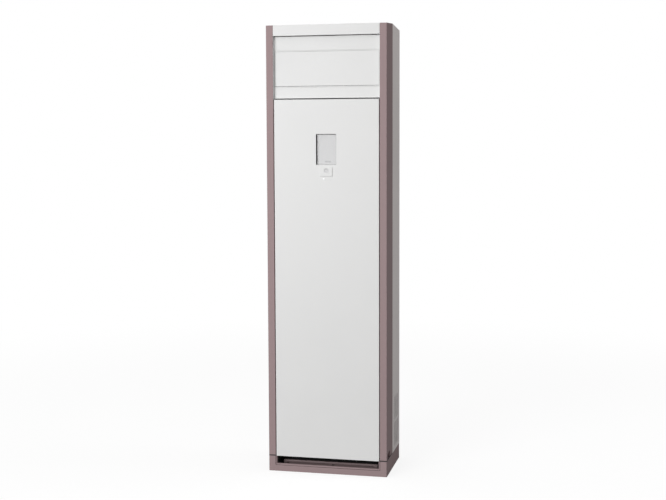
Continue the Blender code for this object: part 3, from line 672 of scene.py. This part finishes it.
for side, label in SIDES:
    across = sorted((side * slot_half, side * (slot_half - LINER_THICK)))
    liner = start_block(
        f"slot_liner_{label}",
        (across[0], front + LINER_SETBACK, rail_low.z),
        (across[1], foam_rear, pan_foot),
    )
    sink = (side * HOLDER_SINK, 0, 0)
    move_faces(liner, lambda face: side * face.normal.x < -SQUARE_ON, sink, rim=HOLDER_RIM)
    ease(liner, HOLDER_SINK)
    fit(liner, painted_shade_rubber)


# Steel sheets: sides, back, top cover and pipe cover
# Folded 1 mm steel with a near-white powder coat, whose skin is like fine orange peel. They tuck behind
# the columns and meet at flanges on the back, where pan head screws hold them.
COAT = (0.870, 0.815, 0.797)
SHEET_EDGE = 0.0003
SCREW_RADIUS = 0.0036
SCREW_HEIGHT = 0.0019
SCREW_SIDES = 20
SCREW_EDGE = 0.0012
RECESS_WIDTH = 0.0009
RECESS_LENGTH = 0.0042
RECESS_DEPTH = 0.0011
BACK_SCREWS = 6
SCREW_INSET = 0.009
SCREW_END = 0.040
COVER_SCREWS = 3
CORNER_INSET = 0.009
COUNTERSINK = 0.0012
SINK_ROOM = 0.0005
SINK_RADIUS = SCREW_RADIUS + SINK_ROOM
SCREW_ZINC = (0.62, 0.62, 0.60)


def start_rod(name, centre, axis, radius, length, sides):
    """A round bar about a centre that runs along x, y or z, to be shaped into a piece."""
    turns = {"x": (0, math.pi / 2, 0), "y": (-math.pi / 2, 0, 0), "z": (0, 0, 0)}
    bpy.ops.object.select_all(action="DESELECT")
    bpy.ops.mesh.primitive_cylinder_add(
        vertices=sides,
        radius=radius,
        depth=length,
        location=centre,
        rotation=turns[axis],
    )
    piece = bpy.context.object
    piece.name = name
    piece.data.name = name
    bpy.ops.object.transform_apply(location=True, rotation=True, scale=True)
    return piece


def make_screw():
    """A pan head screw at the origin that looks along +Y, with a cross recess in its head."""
    screw = start_rod("screw", (0, SCREW_HEIGHT / 2, 0), "y", SCREW_RADIUS, SCREW_HEIGHT, SCREW_SIDES)
    open_faces(screw, lambda face: face.normal.y > SQUARE_ON)
    bpy.ops.mesh.inset(thickness=SCREW_EDGE)
    bpy.ops.object.mode_set(mode="OBJECT")
    for vertex in screw.data.vertices:
        reach = math.hypot(vertex.co.x, vertex.co.z)
        if vertex.co.y > SCREW_HEIGHT / 2 and reach > SCREW_RADIUS - SCREW_EDGE / 2:
            vertex.co.y -= SCREW_EDGE / 2
    for width, height in ((RECESS_LENGTH, RECESS_WIDTH), (RECESS_WIDTH, RECESS_LENGTH)):
        arm = start_block(
            "recess_arm",
            (-width / 2, SCREW_HEIGHT - RECESS_DEPTH, -height / 2),
            (width / 2, SCREW_HEIGHT + RECESS_DEPTH, height / 2),
        )
        boolean(screw, arm, "DIFFERENCE")
    take_up(screw)
    bpy.ops.object.shade_smooth_by_angle(angle=SHARP_FROM)
    return screw


def drive_screws(name, places):
    """Copies of the screw at several places on the back, joined into one piece."""
    copies = []
    for index, place in enumerate(places):
        copy = bpy.data.objects.new(f"{name}_{index}", screw.data.copy())
        bpy.context.scene.collection.objects.link(copy)
        copy.location = place
        copies.append(copy)
    screws = join_pieces(copies, name)
    bpy.ops.object.transform_apply(location=True, rotation=True, scale=True)
    fit(screws, screw_steel)


def countersink_corners(plate, node):
    """Sink a seat for a screw at each corner of a plate on the back, and name the screws' places."""
    low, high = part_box(node)
    places = []
    for x in (low.x + CORNER_INSET, high.x - CORNER_INSET):
        for z in (low.z + CORNER_INSET, high.z - CORNER_INSET):
            places.append((x, high.y - SCREW_HEIGHT, z))
            middle = (x, high.y, z)
            sink = start_rod("countersink", middle, "y", SINK_RADIUS, 2 * COUNTERSINK, SCREW_SIDES)
            boolean(plate, sink, "DIFFERENCE")
    return places


powder_coat = moulded_finish(
    "powder_coat", COAT, roughness=0.48, grain=450, relief=0.0001, mottle=0.015
)
sheets = {}
for node in ("side_panel_left", "side_panel_right", "back_panel", "top_cover", "pipe_cover"):
    sheets[node] = soften(node, f"{node}_sheet", SHEET_EDGE, powder_coat)

screw_steel = moulded_finish(
    "screw_zinc", SCREW_ZINC, roughness=0.35, grain=800, relief=0.00002, mottle=0.1
)
shader_of(screw_steel).inputs["Metallic"].default_value = 1.0
screw = make_screw()
back_low, back_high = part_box("back_panel")
cover_low, cover_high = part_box("top_cover")
back_face = cover_high.y
places = []
for side in (-1, 1):
    for index in range(BACK_SCREWS):
        share = index / (BACK_SCREWS - 1)
        z = back_low.z + SCREW_END + (back_high.z - back_low.z - 2 * SCREW_END) * share
        places.append((side * (back_high.x - SCREW_INSET), back_face, z))
for index in range(COVER_SCREWS):
    x = (index - (COVER_SCREWS - 1) / 2) * (cover_high.x - 2 * SCREW_INSET)
    places.append((x, back_face, cover_low.z + SCREW_INSET))
drive_screws("back_screws", places)
drive_screws("pipe_cover_screws", countersink_corners(sheets["pipe_cover"], "pipe_cover"))


# Bare steel: base pan and wall bracket
# Hot dip galvanised steel, not painted, whose zinc has set in small leaf-like crystals. The pan closes
# the plinth, and the bracket, held by four screws, keeps the tower from tipping.
ZINC_DARK = (0.30, 0.30, 0.31)
ZINC_LIGHT = (0.47, 0.48, 0.49)
ZINC_CRYSTALS = 110
ZINC_METAL = 0.9
ZINC_SMOOTH = 0.32
ZINC_ROUGH = 0.52
ZINC_SCRATCHES = 700
ZINC_STRENGTH = 0.25
ZINC_RELIEF = 0.00003


def galvanised_finish():
    """Zinc crystals that differ in tone and gloss, each flat, with fine scratches."""
    finish, nodes, links, place = start_finish("galvanised_steel")
    shader_of(finish).inputs["Metallic"].default_value = ZINC_METAL
    crystals = nodes.new("ShaderNodeTexVoronoi")
    crystals.inputs["Scale"].default_value = ZINC_CRYSTALS
    links.new(place, crystals.inputs["Vector"])
    level = nodes.new("ShaderNodeSeparateColor")
    links.new(crystals.outputs["Color"], level.inputs["Color"])
    tint(finish, level.outputs["Red"], ZINC_DARK, ZINC_LIGHT)
    gloss = nodes.new("ShaderNodeMapRange")
    gloss.inputs["To Min"].default_value = ZINC_SMOOTH
    gloss.inputs["To Max"].default_value = ZINC_ROUGH
    links.new(level.outputs["Green"], gloss.inputs["Value"])
    links.new(gloss.outputs["Result"], shader_of(finish).inputs["Roughness"])
    scratches = nodes.new("ShaderNodeTexNoise")
    scratches.inputs["Scale"].default_value = ZINC_SCRATCHES
    links.new(place, scratches.inputs["Vector"])
    roughen(finish, scratches.outputs["Fac"], ZINC_STRENGTH, ZINC_RELIEF)
    return finish


def dress(node, finish):
    """Give a CAD node its finish."""
    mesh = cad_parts[node].data
    mesh.materials.clear()
    mesh.materials.append(finish)


galvanised = galvanised_finish()
dress("base_pan", galvanised)
bracket = soften("wall_bracket", "wall_bracket_plate", SHEET_EDGE, galvanised)
drive_screws("bracket_screws", countersink_corners(bracket, "wall_bracket"))
bpy.data.objects.remove(screw)


# Rubber: feet and cable gland
# Black nitrile rubber, matt, with a bloom on it. The four pads are glued into round seats under the
# plinth, and the gland is pressed into the back panel.
RUBBER_EDGE = 0.0008
RUBBER_GREY = (0.035, 0.035, 0.036)
rubber = moulded_finish(
    "rubber", RUBBER_GREY, roughness=0.75, grain=600, relief=0.0001, mottle=0.1
)
for node in ("foot_front_left", "foot_front_right", "foot_rear_left", "foot_rear_right"):
    soften(node, f"{node}_pad", RUBBER_EDGE, rubber)
soften("cable_gland", "cable_gland_ring", RUBBER_EDGE, rubber, segments=3)


# Air filters behind the side grilles
# Each is a black nylon net, woven of round threads and moulded into a stiff plastic frame with two bars
# across. It slides in behind the slots of the side panel.
NET_PITCH = 0.0030
NET_THREAD = 0.0009
FRAME_RIM = 0.006
FRAME_BARS = 2
FRAME_BAR = 0.004
FRAME_EDGE = 0.0005
THREAD_SIDES = 6
THREAD_SHARP = math.radians(75)
NYLON_BLACK = (0.030, 0.030, 0.032)


def lay_row(piece, count, step):
    """Repeat a piece in a row, as one mesh."""
    take_up(piece)
    row = piece.modifiers.new("row", "ARRAY")
    row.count = count
    row.use_relative_offset = False
    row.use_constant_offset = True
    row.constant_offset_displace = step
    bpy.ops.object.modifier_apply(modifier="row")


net_nylon = moulded_finish("filter_nylon", NYLON_BLACK, roughness=0.6, grain=1500, relief=0.00005)
for label in ("left", "right"):
    low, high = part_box(f"intake_filter_{label}")
    rim = start_block(f"filter_frame_{label}", low, high)
    cut_frame(rim, lambda face: abs(face.normal.x) > SQUARE_ON, FRAME_RIM)
    bar_gap = (high.z - low.z) / (FRAME_BARS + 1)
    bar = start_block(
        "filter_bar",
        (low.x, low.y + FRAME_RIM / 2, low.z + bar_gap - FRAME_BAR / 2),
        (high.x, high.y - FRAME_RIM / 2, low.z + bar_gap + FRAME_BAR / 2),
    )
    lay_row(bar, FRAME_BARS, (0, 0, bar_gap))
    boolean(rim, bar, "UNION")
    ease(rim, FRAME_EDGE)
    fit(rim, net_nylon)
    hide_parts(f"intake_filter_{label}")

    middle_x = (low.x + high.x) / 2
    threads_up = int((high.y - low.y - 2 * FRAME_RIM) / NET_PITCH)
    threads_along = int((high.z - low.z - 2 * FRAME_RIM) / NET_PITCH)
    centre = (middle_x, low.y + FRAME_RIM + NET_PITCH / 2, (low.z + high.z) / 2)
    length = high.z - low.z - FRAME_RIM
    upright = start_rod("net_up", centre, "z", NET_THREAD / 2, length, THREAD_SIDES)
    lay_row(upright, threads_up, (0, NET_PITCH, 0))
    centre = (middle_x + NET_THREAD / 2, (low.y + high.y) / 2, low.z + FRAME_RIM + NET_PITCH / 2)
    length = high.y - low.y - FRAME_RIM
    level = start_rod("net_along", centre, "y", NET_THREAD / 2, length, THREAD_SIDES)
    lay_row(level, threads_along, (0, 0, NET_PITCH))
    net = join_pieces([upright, level], f"filter_net_{label}")
    bpy.ops.object.shade_smooth_by_angle(angle=THREAD_SHARP)
    fit(net, net_nylon)


# Air duct behind the flap
# Grey ABS walls and a curved back that turns the air forward, seven white guide vanes on pegs, and the
# link bar that swings them together, with a pin at each vane. Natural nylon rings carry the flap's pins.
DUCT_EDGE = 0.0005
VANE_EDGE = 0.0004
VANES = 7
LINK_PIN = 0.0018
LINK_PIN_PROUD = 0.0008
DUCT_GREY = (0.52, 0.52, 0.53)
NYLON_PALE = (0.70, 0.70, 0.68)
duct_plastic = moulded_finish("duct_plastic", DUCT_GREY, roughness=0.6, grain=700, relief=0.0001)
for node in ("duct_wall_left", "duct_wall_right", "duct_back"):
    dress(node, duct_plastic)
for index in range(VANES):
    node = f"guide_vane_{index + 1}"
    soften(node, f"{node}_moulding", VANE_EDGE, white_plastic)
soften("vane_link", "vane_link_bar", DUCT_EDGE, duct_plastic)
bearing_nylon = moulded_finish("bearing_nylon", NYLON_PALE, roughness=0.4, grain=900, relief=0.00005)
for node in ("flap_bearing_left", "flap_bearing_right"):
    soften(node, f"{node}_ring", VANE_EDGE, bearing_nylon)

link_low, link_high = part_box("vane_link")
pins = []
for index in range(VANES):
    vane_low, vane_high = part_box(f"guide_vane_{index + 1}")
    middle_x = (vane_low.x + vane_high.x) / 2
    centre = (middle_x, (link_low.y + link_high.y) / 2, link_high.z)
    pin = start_rod(f"link_pin_{index}", centre, "z", LINK_PIN, 2 * LINK_PIN_PROUD, SCREW_SIDES)
    ease(pin, LINK_PIN / 3)
    pins.append(pin)
fit(join_pieces(pins, "vane_link_pins"), bearing_nylon)


# Cooling coil
# Thin aluminium fins pressed on two rows of copper tubes, between two galvanised end plates. Short
# bends, brazed on outside the plates, join the tubes in pairs. It leans back in the duct.
COIL_LEAN = math.radians(20)
COIL_THICK = 0.030
PLATE_SETBACK = 0.017
PLATE_THICK = 0.0012
FIN_PITCH = 0.0020
FIN_THICK = 0.00025
FIN_EDGE_IN = 0.001
TUBE_RADIUS = 0.0035
TUBE_PITCH = 0.021
TUBE_ROW = 0.0075
TUBE_SIDES = 12
BEND_STEPS = 8
ALUMINIUM = (0.75, 0.76, 0.78)
COPPER = (0.72, 0.38, 0.24)


def lean(piece, centre):
    """Tilt a piece that was made upright about the origin and put it where the coil is."""
    take_up(piece)
    piece.rotation_euler = (-COIL_LEAN, 0, 0)
    piece.location = centre
    bpy.ops.object.transform_apply(location=True, rotation=True, scale=True)


coil_low, coil_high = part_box("cooling_coil")
coil_centre = (coil_low + coil_high) / 2
coil_height = (coil_high.z - coil_low.z - COIL_THICK * math.sin(COIL_LEAN)) / math.cos(COIL_LEAN)
half_high = coil_height / 2
plate_x = coil_high.x - PLATE_SETBACK
aluminium = moulded_finish("fin_aluminium", ALUMINIUM, roughness=0.4, grain=500, relief=0.0001)
shader_of(aluminium).inputs["Metallic"].default_value = 1.0
copper = moulded_finish(
    "tube_copper", COPPER, roughness=0.32, grain=300, relief=0.00003, mottle=0.15
)
shader_of(copper).inputs["Metallic"].default_value = 1.0

fin = start_block(
    "coil_fins",
    (-plate_x + FIN_PITCH, -COIL_THICK / 2 + FIN_EDGE_IN, -half_high + FIN_EDGE_IN),
    (-plate_x + FIN_PITCH + FIN_THICK, COIL_THICK / 2 - FIN_EDGE_IN, half_high - FIN_EDGE_IN),
)
lay_row(fin, int(2 * (plate_x - FIN_PITCH) / FIN_PITCH), (FIN_PITCH, 0, 0))
lean(fin, coil_centre)
fit(fin, aluminium)
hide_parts("cooling_coil")

plates = []
for side in (-1, 1):
    ends = sorted((side * plate_x, side * (plate_x + PLATE_THICK)))
    plate = start_block(
        f"coil_plate_{side + 1}",
        (ends[0], -COIL_THICK / 2, -half_high),
        (ends[1], COIL_THICK / 2, half_high),
    )
    ease(plate, PLATE_THICK / 3)
    plates.append(plate)
plate = join_pieces(plates, "coil_end_plates")
lean(plate, coil_centre)
fit(plate, galvanised)

tubes_up = int((coil_height - 2 * TUBE_RADIUS) / TUBE_PITCH)
lowest = -TUBE_PITCH * (tubes_up - 1) / 2
copper_runs = []
for row in (-1, 1):
    tube = start_rod("tube", (0, row * TUBE_ROW, lowest), "x", TUBE_RADIUS, 2 * plate_x, TUBE_SIDES)
    lay_row(tube, tubes_up, (0, 0, TUBE_PITCH))
    copper_runs.append(tube)
for side in (-1, 1):
    bpy.ops.object.select_all(action="DESELECT")
    bpy.ops.mesh.primitive_torus_add(
        location=(side * (plate_x + PLATE_THICK), 0, lowest),
        major_radius=TUBE_ROW,
        minor_radius=TUBE_RADIUS,
        major_segments=2 * BEND_STEPS,
        minor_segments=TUBE_SIDES,
    )
    bend = bpy.context.object
    bpy.ops.object.transform_apply(location=True, rotation=True, scale=True)
    bpy.ops.object.mode_set(mode="EDIT")
    bpy.ops.mesh.select_all(action="SELECT")
    bpy.ops.mesh.bisect(
        plane_co=(side * (plate_x + PLATE_THICK), 0, 0),
        plane_no=(side, 0, 0),
        clear_inner=True,
        use_fill=True,
    )
    bpy.ops.object.mode_set(mode="OBJECT")
    lay_row(bend, tubes_up, (0, 0, TUBE_PITCH))
    copper_runs.append(bend)
tubes = join_pieces(copper_runs, "coil_tubes")
bpy.ops.object.shade_smooth_by_angle(angle=SHARP_FROM)
lean(tubes, coil_centre)
fit(tubes, copper)


# Display
# A pale screen behind a bonded glass sits deep in a near-black plastic tray, whose black paints part of
# the shade in the recess, so a dark line shows round it. A small smoked strip low in the glass covers
# the remote control's receiver. The screen is off and blank.
GLASS_GREY = (0.540, 0.540, 0.545)
GLASS_SPREAD = 0.0022
GLASS_RISE = 0.0014
GLASS_BED = 0.0008
GLASS_EDGE = 0.0005
TRAY_EDGE = 0.0004
STRIP_LEFT = -0.008
STRIP_WIDTH = 0.024
STRIP_RISE = 0.009
STRIP_HEIGHT = 0.0065
STRIP_THICK = 0.0003
STRIP_GREY = (0.41, 0.41, 0.42)
STRIP_ROUND_SHARE = 0.8
TRAY_SHADE_BLACK = (0.05, 0.05, 0.05)
# The tray's near-black paints part of the shade in the deep recess round the glass.
tray_shade_plastic = moulded_finish("tray_shade_plastic", TRAY_SHADE_BLACK, roughness=0.5, grain=900, relief=0.00005)
soften("display_tray", "display_tray_moulding", TRAY_EDGE, tray_shade_plastic)
window_glass = moulded_finish(
    "window_glass", GLASS_GREY, roughness=0.15, grain=900, relief=0.00001, mottle=0.01
)
window_low, window_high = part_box("display_window")
glass = start_block(
    "display_glass",
    window_low - Vector((GLASS_SPREAD, 0, GLASS_BED)),
    window_high + Vector((GLASS_SPREAD, 0, GLASS_RISE)),
)
ease(glass, GLASS_EDGE, segments=3)
fit(glass, window_glass)
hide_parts("display_window")
smoked = moulded_finish("smoked_strip", STRIP_GREY, roughness=0.12, grain=900, relief=0.00001)
strip_foot = window_low.z + STRIP_RISE
strip = start_block(
    "receiver_strip",
    (STRIP_LEFT, window_low.y - STRIP_THICK, strip_foot),
    (STRIP_LEFT + STRIP_WIDTH, window_low.y + STRIP_THICK, strip_foot + STRIP_HEIGHT),
)
ease(strip, STRIP_THICK * STRIP_ROUND_SHARE, segments=3)
fit(strip, smoked)


# Key pad, key and signal lens
# A raised white pad clipped into the panel carries one round grey key with a dished top. A small clear
# signal lens sits under it, to its left; the faint glow it has here is a painted highlight. None of them
# is marked.
PAD_SLOPE = 0.0022
PAD_ROUND = 0.003
PAD_EDGE = 0.0005
KEY_EDGE = 0.0005
KEY_GREY = (0.700, 0.700, 0.700)
DISH_STEPS = ((0.0008, 0.00002), (0.0012, 0.00018), (0.0014, 0.00022), (0.0016, 0.00012))
LENS_EDGE = 0.0009
LENS_PAINTED_GLOW = 0.17
LENS_CLEAR = (0.86, 0.87, 0.87)
DEAD_SQUARE = 0.999
pad = copy_node("key_plate", "key_pad")
pad_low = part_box("key_plate")[0]
for vertex in pad.data.vertices:
    rise = vertex.co.z - pad_low.z
    if vertex.co.y < pad_low.y + PAD_EDGE and rise < PAD_ROUND:
        vertex.co.z += PAD_SLOPE * (1 - rise / PAD_ROUND)
ease(pad, PAD_EDGE, segments=3)
fit(pad, white_plastic)
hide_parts("key_plate")
key_plastic = moulded_finish("key_plastic", KEY_GREY, roughness=0.35, grain=900, relief=0.00005)
key = soften("power_key", "power_key_cap", KEY_EDGE, key_plastic)
key_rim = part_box("power_key")[0].y + KEY_EDGE
open_faces(key, lambda face: face.normal.y < -DEAD_SQUARE and face.calc_center_median().y < key_rim)
for rim, sink in DISH_STEPS:
    bpy.ops.mesh.inset(thickness=rim)
    bpy.ops.transform.translate(value=(0, sink, 0))
bpy.ops.object.mode_set(mode="OBJECT")
bpy.ops.object.shade_smooth_by_angle(angle=SHARP_FROM)
# The lens's glow is a painted highlight; it is not a lit lamp.
lens_painted_glow = moulded_finish("lens_painted_glow", LENS_CLEAR, roughness=0.1, grain=900, relief=0.00001)
shader_of(lens_painted_glow).inputs["Coat Weight"].default_value = 1.0
shader_of(lens_painted_glow).inputs["Emission Color"].default_value = (1, 1, 1, 1)
shader_of(lens_painted_glow).inputs["Emission Strength"].default_value = LENS_PAINTED_GLOW
soften("signal_lens", "signal_lens_dome", LENS_EDGE, lens_painted_glow, segments=4)


low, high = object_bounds()
